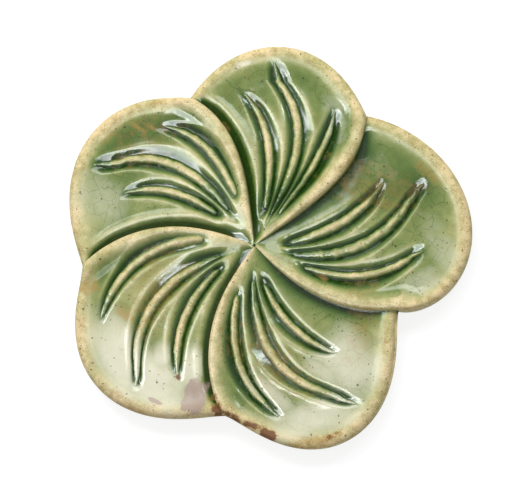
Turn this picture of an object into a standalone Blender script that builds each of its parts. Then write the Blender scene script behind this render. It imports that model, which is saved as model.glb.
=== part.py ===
"""Five-petalled pinwheel mixing palette, hand built in stoneware clay.

Five dished petals lie round a centre like a pinwheel. Each petal's clockwise edge is a raised lip that
lies over a thin tongue of the next petal, and a bed of slip is luted into that lap. Every petal has three
channels, each with a thin raised vein standing in it. A round foot is luted underneath.

The origin is the centre of the foot's underside, +Z is up and petal 1 points along +Y. Petals are
numbered clockwise, seen from above. Dimensions are in millimetres and bearings in degrees.

A place on a petal is given by its radius and its share: 0 at the petal's own lip and 1 at its far edge,
which runs along the lip of the petal before it.
"""

import math
from collections import namedtuple

import bmesh
import bpy

MM = 0.001

# Foot
FOOT_RADIUS = 36.0
FOOT_HEIGHT = 3.0
FOOT_CHAMFER = 0.8
FOOT_SIDES = 48
GAP = 0.3  # clearance between pieces that are luted together
UNDERSIDE = FOOT_HEIGHT + GAP

# Surface of a petal, as heights above its underside
FLOOR = 3.6
LIP_RISE = 2.4
LIP_CREST_INSET = 1.4
LIP_FLANK = 4.0  # how wide the lip's inner slope is
LIP_ROUNDING = 0.7  # the lip's edge is this much lower than its crest
LEAST_THICKNESS = 0.4
GROOVE_DEPTH = 0.7  # the floor dips along the far edge
GROOVE_FLANK = 2.6
GROOVE_INSET = 2.2
RIM_RISE = 2.2
RIM_CREST_INSET = 2.4
RIM_FLANK = 3.0
RIM_EDGE = 2.6  # where the rounded rim meets its upright edge
RIM_LIFT = 0.8  # the underside curves up this far towards the rim
RIM_LIFT_START = 39.0
RIM_LIFT_RUN = 34.8  # how far the whole of that curve would take
CENTRE_RADIUS = 1.2
INNER_GROWTH = 22.0  # radius by which the lip has its full height
CENTRE_SHARE = 0.35  # how much of its height the lip has at the centre

# Lap of one petal's lip over the next petal's tongue
LAP_HEIGHT = 2.6  # the lip's underside is this high at its edge
LAP_WIDTH = 10.0  # and comes down to the petal's underside over this width
LAP_START = 6.0
LAP_FULL = 16.0
LAP_END = 5.0  # the lap dies out over this distance before the notch
EDGE_GAP = 0.35
TONGUE_REACH = 4.4
TONGUE_CLEARANCE = 1.1  # room above the tongue, for the slip and a gap on each side of it
TONGUE_LEAST = 0.3
TONGUE_FEATHER = 0.6  # the tip's thickness, as a share of what would fit
SLIP_THICKNESS = 0.5
SLIP_INNER = 0.4
SLIP_OUTER = 3.9
SLIP_LEAST_LAP = 2.5

# Channels and the veins that stand in them
CHANNEL_HALF_WIDTH = 2.3
CHANNEL_DEPTH = 1.15
CHANNEL_LEAST_HALF_WIDTH = 0.35
SETTLING_ROUNDS = 4  # share and radius are found from each other in this many rounds
CHANNEL_SPACING_SHARE = 0.42  # channels narrow so that neighbours never meet
FLOOR_SHARE = 0.5  # how much of a channel's width is its flat floor
CHANNEL_PAST_VEIN = 2.2
CHANNEL_TAPER = 0.6  # below 1, a channel keeps its width nearly to its ends
VEIN_HALF_WIDTH = 0.85
VEIN_LEAST_HALF_WIDTH = 0.3
VEIN_HEIGHT = 1.1
VEIN_END_SHARE = 0.4  # how much of its height a vein has at its ends
VEIN_SHOULDER = 0.55  # height of the shoulder, as a share of the vein's height
VEIN_CREST = 0.4  # width of the crest, as a share of the vein's width

# Rows of a petal's surface, from the centre outwards: first as shares of the way to the rim band, then as
# distances in from the rim
INNER_ROWS = (0.0, 0.07, 0.15, 0.24, 0.33, 0.42, 0.51, 0.60, 0.69, 0.78, 0.88, 1.0)
RIM_ROWS = (4.2, 2.4, 1.2, 0.4, 0.0)
RIM_BAND = 6.5
ROWS = range(len(INNER_ROWS) + len(RIM_ROWS))
MOST_EDGE_SHARE = 0.10  # the columns by the lip and the groove stay within this share of their side
LIP_COLUMN_SHARE = 0.35  # a column this share of the way to the crest rounds the lip

# A vein runs from one radius and share to another. A turn above 1 leaves the bend to its outer end.
Vein = namedtuple("Vein", "start end start_share end_share turn")

# The lip starts at lip_bearing and swings by lip_sweep on its way to the notch. tip is the radius of the
# petal's tip, tip_skew below 1 moves it towards the own lip, and tip_point above 1 makes it narrower.
Petal = namedtuple("Petal", "lip_bearing lip_sweep lip_turn notch tip tip_skew tip_point veins")

PETALS = (
    Petal(45.0, 15.0, 2.9, 49.1, 60.0, 1.07, 1.0, (
        Vein(11.2, 45.5, 0.27, 0.22, 3.0),
        Vein(10.0, 54.6, 0.44, 0.56, 2.5),
        Vein(11.0, 45.5, 0.63, 0.75, 0.7),
    )),
    Petal(36.5, 21.5, 1.6, 45.5, 62.4, 0.76, 0.9, (
        Vein(18.0, 48.6, 0.24, 0.30, 2.8),
        Vein(11.3, 51.8, 0.41, 0.60, 1.4),
        Vein(10.0, 41.1, 0.60, 0.76, 0.7),
    )),
    Petal(30.0, 25.5, 1.7, 49.4, 62.2, 0.90, 1.5, (
        Vein(17.0, 49.9, 0.18, 0.25, 3.2),
        Vein(10.1, 54.6, 0.41, 0.58, 3.4),
        Vein(11.2, 39.4, 0.61, 0.70, 0.9),
    )),
    Petal(25.0, 27.8, 1.65, 51.4, 61.2, 0.90, 1.45, (
        Vein(16.3, 49.5, 0.15, 0.27, 2.0),
        Vein(10.1, 53.0, 0.47, 0.59, 3.0),
        Vein(12.2, 43.8, 0.68, 0.80, 0.9),
    )),
    Petal(36.7, 16.5, 2.7, 48.9, 61.4, 0.92, 1.2, (
        Vein(15.6, 46.2, 0.20, 0.24, 3.0),
        Vein(13.2, 55.0, 0.45, 0.54, 4.5),
        Vein(14.7, 42.8, 0.66, 0.70, 2.5),
    )),
)
TURN = 360.0 / len(PETALS)

SHARP_ANGLE = 40.0  # faces that meet more sharply than this many degrees show an edge

# Colour and roughness of the three finishes
GLAZED = ((0.21, 0.24, 0.09), 0.22)
GLAZED_THIN = ((0.50, 0.42, 0.22), 0.30)
BARE_CLAY = ((0.44, 0.32, 0.21), 0.85)


def ease(x):
    """0 up to 0, 1 from 1 on, and an even rise between them."""
    x = min(max(x, 0.0), 1.0)
    return x * x * (3.0 - 2.0 * x)


def bell(x):
    return math.exp(-x * x)


def own_lip(index, radius):
    """Bearing of a petal's own lip. It keeps its last bearing beyond the notch."""
    petal = PETALS[index % len(PETALS)]
    run = min(radius / petal.notch, 1.0)
    return petal.lip_bearing + petal.lip_sweep * run**petal.lip_turn


def span(index, radius):
    """Bearing of a petal's own lip and the angle from there to its far edge."""
    own = own_lip(index, radius)
    far = TURN + own_lip(index - 1, radius) - math.degrees(EDGE_GAP / radius)
    return own, far - own


def width(index, radius):
    return math.radians(span(index, radius)[1]) * radius


def spot(index, share, radius, height, past=0.0):
    """A point of a petal. past moves it further round by an arc length."""
    own, angle = span(index, radius)
    bearing = math.radians(own + angle * share - TURN * index) + past / radius
    return radius * math.cos(bearing), radius * math.sin(bearing), height


def rim_radius(index, share):
    """Radius of the petal's outline, from its own notch round its tip to the notch of the petal before."""
    petal = PETALS[index]
    notches = petal.notch + (PETALS[index - 1].notch - petal.notch) * share
    swell = abs(math.sin(math.pi * share**petal.tip_skew)) ** petal.tip_point
    return notches + (petal.tip - notches) * swell


def row_radius(index, share, row):
    rim = rim_radius(index, share)
    if row < len(INNER_ROWS):
        return CENTRE_RADIUS + (rim - RIM_BAND - CENTRE_RADIUS) * INNER_ROWS[row]
    return rim - RIM_ROWS[row - len(INNER_ROWS)]


def lap_height(index, radius):
    """Height of the lip's underside at its edge: nothing at the centre and at the notch."""
    grown = ease((radius - LAP_START) / (LAP_FULL - LAP_START))
    return LAP_HEIGHT * grown * ease((PETALS[index % len(PETALS)].notch - radius) / LAP_END)


def underside(radius):
    return UNDERSIDE + RIM_LIFT * ease((radius - RIM_LIFT_START) / RIM_LIFT_RUN)


def surface(index, share, radius):
    """Height of a petal's upper face, without its channels."""
    across = width(index, radius)
    from_rim = max(rim_radius(index, share) - radius, 0.0)
    grown = CENTRE_SHARE + (1.0 - CENTRE_SHARE) * ease(radius / INNER_GROWTH)
    lip = LIP_RISE * grown * bell(max(share * across - LIP_CREST_INSET, 0.0) / LIP_FLANK)
    rim = RIM_RISE * bell(max(from_rim - RIM_CREST_INSET, 0.0) / RIM_FLANK)
    groove = GROOVE_DEPTH * grown * bell((1.0 - share) * across / GROOVE_FLANK) * ease(from_rim / RIM_BAND)
    height = FLOOR + max(lip, rim) - groove
    if from_rim < RIM_CREST_INSET:
        rounding = math.sqrt(1.0 - (1.0 - from_rim / RIM_CREST_INSET) ** 2)
        height = RIM_EDGE + (height - RIM_EDGE) * rounding
    return UNDERSIDE + height


def vein_share(vein, radius):
    run = (radius - vein.start) / (vein.end - vein.start)
    return vein.start_share + (vein.end_share - vein.start_share) * min(max(run, 0.0), 1.0) ** vein.turn


def channel_taper(vein, radius):
    """1 along the middle of a channel and 0 beyond its ends."""
    start, end = vein.start - CHANNEL_PAST_VEIN, vein.end + CHANNEL_PAST_VEIN
    run = (radius - start) / (end - start)
    return math.sin(math.pi * run) ** CHANNEL_TAPER if 0.0 < run < 1.0 else 0.0


def channel(index, number, row):
    """Share, radius, half width and depth of a channel where it crosses a row."""
    veins = PETALS[index].veins
    vein = veins[number]
    share, radius = vein.start_share, row_radius(index, vein.start_share, row)
    for _ in range(SETTLING_ROUNDS):
        share = vein_share(vein, radius)
        radius = row_radius(index, share, row)
    taper = channel_taper(vein, radius)
    beside = [vein_share(other, radius) for other in veins if other is not vein]
    room = CHANNEL_SPACING_SHARE * min(abs(share - other) for other in beside) * width(index, radius)
    least = min(CHANNEL_LEAST_HALF_WIDTH, room)
    half = max(min(CHANNEL_HALF_WIDTH * taper, room), least)
    return share, radius, half, CHANNEL_DEPTH * min(taper, 1.0)


def upper_row(index, row):
    """(share, height) of the columns across a row, from the lip to the far edge.

    A channel's floor is level from side to side. The outer rows, past the channels, have even columns.
    """
    across = width(index, row_radius(index, 0.0, row))
    crest = min(LIP_CREST_INSET / across, MOST_EDGE_SHARE)
    shares = [0.0, crest * LIP_COLUMN_SHARE, crest]
    floors = {}
    for number in range(len(PETALS[index].veins)):
        share, radius, half, depth = channel(index, number, row)
        half /= width(index, radius)
        left = share - half
        shares += [(shares[-1] + left) / 2.0, left, share - half * FLOOR_SHARE]
        floors[len(shares) - 1] = floors[len(shares)] = surface(index, share, radius) - depth
        shares += [share + half * FLOOR_SHARE, share + half]
    groove = 1.0 - min(GROOVE_INSET / width(index, row_radius(index, 1.0, row)), MOST_EDGE_SHARE)
    shares += [(shares[-1] + groove) / 2.0, groove, 1.0]
    if row > len(INNER_ROWS):
        shares = [place / (len(shares) - 1) for place in range(len(shares))]
        floors = {}
    heights = [surface(index, share, row_radius(index, share, row)) for share in shares]
    heights[0] -= LIP_ROUNDING
    for place, height in floors.items():
        heights[place] = height
    return list(zip(shares, heights))


def tongue_reach(lap):
    return TONGUE_REACH * ease((lap - LAP_HEIGHT / 2.0) * 2.0 / LAP_HEIGHT)


def petal_rows(index, row):
    """Upper points of a row, and the same points dropped to the petal's underside."""
    upper, lower = [], []
    for share, top in upper_row(index, row):
        radius = row_radius(index, share, row)
        lap = lap_height(index, radius) * max(1.0 - share * width(index, radius) / LAP_WIDTH, 0.0)
        bottom = underside(radius) + lap
        top = max(top, bottom + LEAST_THICKNESS)
        upper.append(spot(index, share, radius, top))
        lower.append(spot(index, share, radius, bottom))
    radius = row_radius(index, 1.0, row)
    lap = lap_height(index - 1, radius)
    reach = tongue_reach(lap)
    shoulder = max(lap - TONGUE_CLEARANCE, TONGUE_LEAST)
    tip = max(lap * (1.0 - reach / LAP_WIDTH) - TONGUE_CLEARANCE, TONGUE_LEAST) * TONGUE_FEATHER
    past = reach + EDGE_GAP if reach else 0.0
    bottom = underside(radius)
    upper += [spot(index, 1.0, radius, bottom + shoulder), spot(index, 1.0, radius, bottom + tip, past)]
    lower += [spot(index, 1.0, radius, bottom), spot(index, 1.0, radius, bottom, past)]
    return upper, lower


def new_piece(name, mesh_maker, finish):
    """An object with its own mesh and material, whose faces all point outwards."""
    bm = bmesh.new()
    mesh_maker(bm)
    bmesh.ops.triangulate(bm, faces=bm.faces)
    bmesh.ops.recalc_face_normals(bm, faces=bm.faces)
    bmesh.ops.scale(bm, vec=(MM, MM, MM), verts=bm.verts)
    mesh = bpy.data.meshes.new(name)
    bm.to_mesh(mesh)
    bm.free()
    material = bpy.data.materials.new(name)
    material.use_nodes = True
    shader = material.node_tree.nodes["Principled BSDF"]
    colour, roughness = finish
    shader.inputs["Base Color"].default_value = (*colour, 1.0)
    shader.inputs["Roughness"].default_value = roughness
    mesh.materials.append(material)
    mesh.shade_smooth()
    mesh.set_sharp_from_angle(angle=math.radians(SHARP_ANGLE))
    piece = bpy.data.objects.new(name, mesh)
    bpy.context.scene.collection.objects.link(piece)
    return piece


def loft(bm, loops):
    """A tube through closed loops of equal length, capped at both ends."""
    rings = [[bm.verts.new(point) for point in loop] for loop in loops]
    for ring, following in zip(rings, rings[1:]):
        for a, b in zip(range(len(ring)), [*range(1, len(ring)), 0]):
            bm.faces.new((ring[a], ring[b], following[b], following[a]))
    bm.faces.new(rings[0])
    bm.faces.new(rings[-1])


def petal_mesh(bm, index):
    """Upper and lower faces of a petal, joined along both edges, the centre and the rim."""
    rows = [petal_rows(index, row) for row in ROWS]
    last = len(rows[0][0]) - 1
    kept = range(0, last + 1, 2)  # the plain underside needs only every second column
    upper = [[bm.verts.new(point) for point in top] for top, _ in rows]
    lower = [{column: bm.verts.new(bottom[column]) for column in kept} for _, bottom in rows]
    for (top, bottom), (next_top, next_bottom) in zip(zip(upper, lower), zip(upper[1:], lower[1:])):
        for a in range(last):
            bm.faces.new((top[a], top[a + 1], next_top[a + 1], next_top[a]))
        for a, b in zip(kept, kept[1:]):
            bm.faces.new((bottom[b], bottom[a], next_bottom[a], next_bottom[b]))
        for a in (0, last):
            bm.faces.new((top[a], next_top[a], next_bottom[a], bottom[a]))
    for top, bottom in ((upper[0], lower[0]), (upper[-1], lower[-1])):
        for a, b in zip(kept, kept[1:]):
            bm.faces.new((*top[a : b + 1], bottom[b], bottom[a]))


def vein_mesh(bm, index, number):
    """A thin ridge along the middle of its channel, standing just clear of the channel's floor."""
    vein = PETALS[index].veins[number]
    crossings = [channel(index, number, row) for row in ROWS]
    radii = [radius for _, radius, _, _ in crossings]
    floors = [surface(index, share, radius) - depth for share, radius, _, depth in crossings]
    stations = [vein.start, *[r for r in radii if vein.start + 1.0 < r < vein.end - 1.0], vein.end]
    loops = []
    for radius in stations:
        before = max(row for row in ROWS[:-1] if radii[row] <= radius)
        run = (radius - radii[before]) / (radii[before + 1] - radii[before])
        base = floors[before] + (floors[before + 1] - floors[before]) * run + GAP
        channel_half = crossings[before][2] + (crossings[before + 1][2] - crossings[before][2]) * run
        at_end = radius in (vein.start, vein.end)
        half = VEIN_LEAST_HALF_WIDTH if at_end else min(VEIN_HALF_WIDTH, channel_half * FLOOR_SHARE)
        height = VEIN_HEIGHT * (VEIN_END_SHARE if at_end else 1.0)
        profile = (
            (-1.0, 0.0), (-1.0, VEIN_SHOULDER), (-VEIN_CREST, 1.0),
            (VEIN_CREST, 1.0), (1.0, VEIN_SHOULDER), (1.0, 0.0),
        )
        share = crossings[before][0] + (crossings[before + 1][0] - crossings[before][0]) * run
        loops.append([spot(index, share, radius, base + z * height, x * half) for x, z in profile])
    loft(bm, loops)


def slip_mesh(bm, index):
    """The bed of slip between a petal's lip and the tongue under it."""
    loops = []
    for row in ROWS:
        radius = row_radius(index, 0.0, row)
        lap = lap_height(index, radius)
        if lap < SLIP_LEAST_LAP:
            continue
        loop = []
        for past, drop in ((SLIP_INNER, GAP), (SLIP_OUTER, GAP), (SLIP_OUTER, GAP + SLIP_THICKNESS),
                           (SLIP_INNER, GAP + SLIP_THICKNESS)):
            height = underside(radius) + lap * (1.0 - past / LAP_WIDTH) - drop
            loop.append(spot(index, 0.0, radius, height, past))
        loops.append(loop)
    loft(bm, loops)


def foot_mesh(bm):
    """A flat round slab with softened edges."""
    inner = FOOT_RADIUS - FOOT_CHAMFER
    levels = (
        (inner, 0.0), (FOOT_RADIUS, FOOT_CHAMFER),
        (FOOT_RADIUS, FOOT_HEIGHT - FOOT_CHAMFER), (inner, FOOT_HEIGHT),
    )
    corners = [2.0 * math.pi * side / FOOT_SIDES for side in range(FOOT_SIDES)]
    loft(bm, [[(r * math.cos(a), r * math.sin(a), z) for a in corners] for r, z in levels])


def build():
    for leftover in list(bpy.data.objects):
        bpy.data.objects.remove(leftover, do_unlink=True)
    new_piece("foot_disc", foot_mesh, BARE_CLAY)
    vein_names = ("right", "middle", "left")
    for index in range(len(PETALS)):
        label = index + 1
        new_piece(f"petal_{label}", lambda bm: petal_mesh(bm, index), GLAZED)
        new_piece(f"slip_joint_{label}", lambda bm: slip_mesh(bm, index), BARE_CLAY)
        for number, name in enumerate(vein_names):
            new_piece(f"petal_{label}_{name}_vein", lambda bm: vein_mesh(bm, index, number), GLAZED_THIN)


build()
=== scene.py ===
# %% [markdown]
# # A pinwheel flower mixing palette in crackle-glazed stoneware
#
# The real palette is hand built. Five soft leaves of clay are laid round a centre so that each one laps
# over the next, the laps are luted with slip, and a round foot is luted underneath. Each leaf is pressed
# into a shallow well, and three channels with a thin raised vein in each are tooled into it. After a first
# firing it is dipped in a runny green glaze, which drains off every crest and pools in every channel.
#
# This first cell loads the measured frame that all the pieces belong to. Everything below is in that
# frame: the foot stands on z = 0 and petal 1 points along +Y.

# %% Load the frame
import math
from collections import namedtuple

import bpy
import numpy as np
from mathutils import Matrix, Vector


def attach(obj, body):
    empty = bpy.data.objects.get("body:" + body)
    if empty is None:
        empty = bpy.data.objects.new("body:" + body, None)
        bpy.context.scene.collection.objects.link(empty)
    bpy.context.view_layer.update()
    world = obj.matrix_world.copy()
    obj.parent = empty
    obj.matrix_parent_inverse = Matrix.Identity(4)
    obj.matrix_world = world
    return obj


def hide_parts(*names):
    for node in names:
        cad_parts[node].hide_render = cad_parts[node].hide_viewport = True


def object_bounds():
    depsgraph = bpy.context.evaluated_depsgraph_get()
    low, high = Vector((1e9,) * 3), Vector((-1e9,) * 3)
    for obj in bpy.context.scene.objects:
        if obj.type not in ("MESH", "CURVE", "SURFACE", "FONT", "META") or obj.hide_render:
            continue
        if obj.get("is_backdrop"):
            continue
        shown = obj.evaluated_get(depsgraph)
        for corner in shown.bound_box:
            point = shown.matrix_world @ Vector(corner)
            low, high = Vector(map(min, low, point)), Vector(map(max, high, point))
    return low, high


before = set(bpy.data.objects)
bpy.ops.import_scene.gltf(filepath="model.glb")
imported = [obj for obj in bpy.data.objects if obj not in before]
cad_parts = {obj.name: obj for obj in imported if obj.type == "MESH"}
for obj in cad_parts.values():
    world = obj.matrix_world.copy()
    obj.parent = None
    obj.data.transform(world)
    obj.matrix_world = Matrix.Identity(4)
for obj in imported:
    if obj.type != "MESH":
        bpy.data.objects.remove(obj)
cad_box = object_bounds()
MM = 0.001
box_in_mm = [[round(v / MM, 1) for v in corner] for corner in cad_box]


def in_scene(name, data):
    """A new object in the scene: a mesh, a light or the camera."""
    made = bpy.data.objects.new(name, data)
    bpy.context.scene.collection.objects.link(made)
    return made


print("frame nodes:", len(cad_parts), "box, mm:", box_in_mm)

# %% [markdown]
# ## Camera
#
# A flat dish reads best from nearly straight above, leaning a little so that one side of its rim shows.
# A long lens keeps the petals' proportions true. The view leans 16 degrees, and it is turned so that
# petal 1 points a little to the right of up.

# %% Place the camera
VIEW_TURN = 11.2  # how far the palette is turned clockwise in the view, degrees
VIEW_LEAN = 16.0
LEAN_TOWARDS = -45.0  # the side the camera leans to, as an angle in the view, degrees
VIEW_DISTANCE = 0.5
VIEW_WIDTH = 0.1455  # what the frame spans at the palette, metres
SENSOR_WIDTH = 36.0
AIM_HEIGHT = 0.006  # above the table
AIM_LEFT, AIM_DOWN = 0.00058, 0.00014  # how far beside the palette's centre the camera looks


def over(view_angle, lean):
    """Direction from the palette that leans from straight up towards an angle in the view, in degrees."""
    a, t = math.radians(view_angle + VIEW_TURN), math.radians(lean)
    return Vector((math.cos(a) * math.sin(t), math.sin(a) * math.sin(t), math.cos(t)))


back = over(LEAN_TOWARDS, VIEW_LEAN)
flat = Vector((back.x, back.y, 0.0)).normalized()
across = (flat - back * flat.dot(back)).normalized()
beside = back.cross(across)
lean = math.radians(LEAN_TOWARDS)
right = across * math.cos(lean) - beside * math.sin(lean)
up = across * math.sin(lean) + beside * math.cos(lean)
target = Vector((0.0, 0.0, AIM_HEIGHT)) - right * AIM_LEFT - up * AIM_DOWN
eye = target + back * VIEW_DISTANCE
camera_data = bpy.data.cameras.new("camera")
camera_data.sensor_width = SENSOR_WIDTH
camera_data.lens = SENSOR_WIDTH * VIEW_DISTANCE / VIEW_WIDTH
camera = in_scene("camera", camera_data)
camera.matrix_world = Matrix((
    (right.x, up.x, back.x, eye.x),
    (right.y, up.y, back.y, eye.y),
    (right.z, up.z, back.z, eye.z),
    (0.0, 0.0, 0.0, 1.0),
))
bpy.context.scene.camera = camera
bpy.context.scene.view_settings.view_transform = "Standard"
print("camera at", [round(v, 3) for v in eye], "lens", round(camera_data.lens, 1))

# %% [markdown]
# ## Light
#
# A glossy glaze shows its lights as much as its colour. A broad panel beyond the palette gives the creamy
# sheen on the outer wells. A key light beside it, which the glaze doesn't mirror, gives most of the shading.
# The thin white double lines along the shoulders of the channels are mirror images of a large window with
# bright edges, on the near and left side. A mirror that tilts by some angle turns the reflection by twice
# that angle, so the window is placed by the tilt of the clay that should catch it: an arc of panels round
# the direction that a level mirror would show.
# Each light has a brightness that stays the same when its size is changed.

# %% Light the palette
def panel(name, towards, sideways, wide, tall, radiance, colour=(1.0, 1.0, 1.0), distance=0.6):
    """A rectangular light that faces the palette, its wide side along the sideways direction."""
    data = bpy.data.lights.new(name, "AREA")
    data.shape = "RECTANGLE"
    data.size, data.size_y = wide, tall
    data.energy = radiance * math.pi * wide * tall
    data.color = colour
    lamp = in_scene(name, data)
    z = towards.normalized()
    x = (sideways - z * sideways.dot(z)).normalized()
    lamp.matrix_world = Matrix.Translation(z * distance) @ Matrix((x, z.cross(x), z)).transposed().to_4x4()
    return lamp


def seen_by(facing, tilt):
    """Direction of the light that clay shows when it faces a view angle and tilts by some degrees."""
    a, towards = math.radians(facing), math.radians(LEAN_TOWARDS)
    x = 2.0 * tilt * math.cos(a) - VIEW_LEAN * math.cos(towards)
    y = 2.0 * tilt * math.sin(a) - VIEW_LEAN * math.sin(towards)
    return over(math.degrees(math.atan2(y, x)), math.hypot(x, y))


WINDOW_ARC = (-72.0, -106.0, -142.0, -178.0)  # which ways the clay faces where it shows the window
WINDOW_STEP = 10.0  # a panel lies along the arc between the points this far to each side
WINDOW_TILT, WINDOW_SIZE, WINDOW_GLOW = 15.0, (0.22, 0.23), 7.2
EDGE_TILTS, EDGE_TALL, EDGE_GLOW = (8.5, 21.5), 0.045, 13.0
EDGE_LENGTH = 0.0155  # per degree of tilt
WINDOW_PALE = (0.92, 0.98, 1.0)
SKY_GLOW = 0.50
window = []
for facing in WINDOW_ARC:
    sideways = seen_by(facing + WINDOW_STEP, WINDOW_TILT) - seen_by(facing - WINDOW_STEP, WINDOW_TILT)
    middle = seen_by(facing, WINDOW_TILT)
    window.append(panel(f"window_{facing:.0f}", middle, sideways, *WINDOW_SIZE, WINDOW_GLOW, WINDOW_PALE))
    for tilt in EDGE_TILTS:
        edge, length = seen_by(facing, tilt), EDGE_LENGTH * tilt
        window.append(panel(f"edge_{tilt:.0f}_{facing:.0f}", edge, sideways, length, EDGE_TALL, EDGE_GLOW))
for lamp in window:
    lamp.visible_diffuse = False  # it is only for the gloss: the far panel and the key light the clay
panel("far_panel", over(98.0, 34.0), over(8.0, 80.0), 0.46, 0.20, 4.5)
key = panel("key", over(118.0, 46.0), over(28.0, 80.0), 0.34, 0.30, 6.0)
key.visible_glossy = False
panel("cool_glint", over(48.0, 40.0), over(-42.0, 80.0), 0.05, 0.16, 16.0, (0.80, 0.97, 1.0))
world = bpy.data.worlds.new("studio")
world.use_nodes = True
world.node_tree.nodes["Background"].inputs["Color"].default_value = (1.0, 1.0, 1.0, 1.0)
world.node_tree.nodes["Background"].inputs["Strength"].default_value = SKY_GLOW
bpy.context.scene.world = world

# %% [markdown]
# ## Writing shader maths
#
# A material's pattern is a chain of small nodes. Written one by one they hide the idea, so this class
# wraps a socket and lets plus, minus, times and powers be written as in ordinary maths. Every other node
# comes from `node`, which takes a node's settings first and then its inputs.

# %% Shader maths
class Wave:
    """A value in a material, as the socket that carries it."""

    def __init__(self, tree, socket):
        self.tree, self.socket = tree, socket

    def maths(self, operation, *others, clamp=False):
        made = self.tree.nodes.new("ShaderNodeMath")
        made.operation, made.use_clamp = operation, clamp
        for entry, value in zip(made.inputs, (self, *others)):
            plug(self.tree, entry, value)
        return Wave(self.tree, made.outputs[0])

    def __add__(self, other):
        return self.maths("ADD", other)

    def __sub__(self, other):
        return self.maths("SUBTRACT", other)

    def __mul__(self, other):
        return self.maths("MULTIPLY", other)

    def __pow__(self, other):
        return self.maths("POWER", other)

    def __rsub__(self, other):
        return (self * -1.0) + other

    def __rtruediv__(self, other):
        return (self**-1.0) * other

    __radd__, __rmul__ = __add__, __mul__

    def clamp(self):
        return self.maths("ADD", 0.0, clamp=True)

    def between(self, low, high):
        """0 at low, 1 at high and an easy curve between. low may be the larger."""
        made = self.tree.nodes.new("ShaderNodeMapRange")
        made.interpolation_type = "SMOOTHSTEP"
        for name, value in (("Value", self), ("From Min", low), ("From Max", high)):
            plug(self.tree, made.inputs[name], value)
        return Wave(self.tree, made.outputs["Result"])


def plug(tree, entry, value):
    if isinstance(value, Wave):
        tree.links.new(value.socket, entry)
    else:
        entry.default_value = value


def node(tree, kind, output, settings=(), **inputs):
    """Any node: its settings, then its inputs by name, and the output that is wanted."""
    made = tree.nodes.new(kind)
    for name, value in dict(settings).items():
        setattr(made, name, value)
    for name, value in inputs.items():
        plug(tree, made.inputs[name.replace("_", " ")], value)
    return Wave(tree, made.outputs[output])


def mix_colours(tree, share, first, second):
    made = tree.nodes.new("ShaderNodeMix")
    made.data_type, made.clamp_factor = "RGBA", True
    for entry, value in zip((made.inputs[0], made.inputs[6], made.inputs[7]), (share, first, second)):
        plug(tree, entry, (*value, 1.0) if isinstance(value, tuple) and len(value) == 3 else value)
    return Wave(tree, made.outputs[2])


def ramp(tree, value, stops):
    """A colour ramp with (place, colour) stops."""
    made = tree.nodes.new("ShaderNodeValToRGB")
    scale = made.color_ramp
    while len(scale.elements) < len(stops):
        scale.elements.new(0.5)
    for element, (place, colour) in zip(scale.elements, stops):
        element.position = place
        element.color = (*colour, 1.0)
    plug(tree, made.inputs[0], value)
    return Wave(tree, made.outputs[0])


def new_material(name):
    material = bpy.data.materials.new(name)
    material.use_nodes = True
    return material, material.node_tree, material.node_tree.nodes["Principled BSDF"]


def specks(tree, place, scale, radius, chance):
    """Scattered round dots: only cells whose random colour passes chance hold one."""
    cell = node(tree, "ShaderNodeTexVoronoi", "Distance", Vector=place, Scale=scale)
    lot = node(tree, "ShaderNodeSeparateColor", 0, Color=Wave(tree, cell.socket.node.outputs["Color"]))
    return cell.between(radius, radius * 0.45) * lot.maths("LESS_THAN", chance)


print("shader maths ready")

# %% [markdown]
# ## The glaze
#
# The glaze is green glass over tan clay. How green it looks depends only on how thick it lies, because
# light is filtered on its way down to the clay and back up. That is Beer's law: each colour fades by a
# fixed share for every bit of thickness. Blue and red fade faster than green, so a thin glaze is straw
# coloured, a thicker one olive and a pool is bottle green. The ramp's stops are worked out from that law,
# and each piece carries its glaze thickness on its points, as an attribute.
#
# Over that come the marks of this glaze: a net of fine crackle lines, iron specks bleeding through from the
# clay, brown iron stains, pink-grey patches where it lies thin and opaque, and a gritty, duller skin on the
# crests where the glass has run off the sandy clay. A painted reflection is added too: cream patches on the
# outer wells, where the glaze shows the sheen of a bright light.

# %% Glaze and clay colours
CLAY_TONE = (0.67, 0.535, 0.29)
GREEN_FADE = (2.35, 1.50, 2.7)  # how fast red, green and blue fade with thickness
SPECK_TONE = (0.045, 0.026, 0.012)
RUST_TONE = (0.15, 0.050, 0.014)
OCHRE_TONE = (0.38, 0.23, 0.06)
MAUVE_TONE = (0.37, 0.26, 0.23)
# painted reflection: the cream of a bright light's sheen, mixed into the glaze colour
PAINTED_SHEEN_TONE = (0.80, 0.765, 0.60)
TOAST_TONE, SAND_TONE = (0.40, 0.22, 0.07), (0.84, 0.74, 0.50)  # toasted clay and pale sand on the crests
CRACKLE_TONE = (0.04, 0.08, 0.018)
RAMP_STEPS = 12
DEEPEST = 1.7  # the thickness that the last colour of the ramp stands for


def through_glaze(thickness):
    return tuple(c * math.exp(-k * thickness) for c, k in zip(CLAY_TONE, GREEN_FADE))


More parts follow.
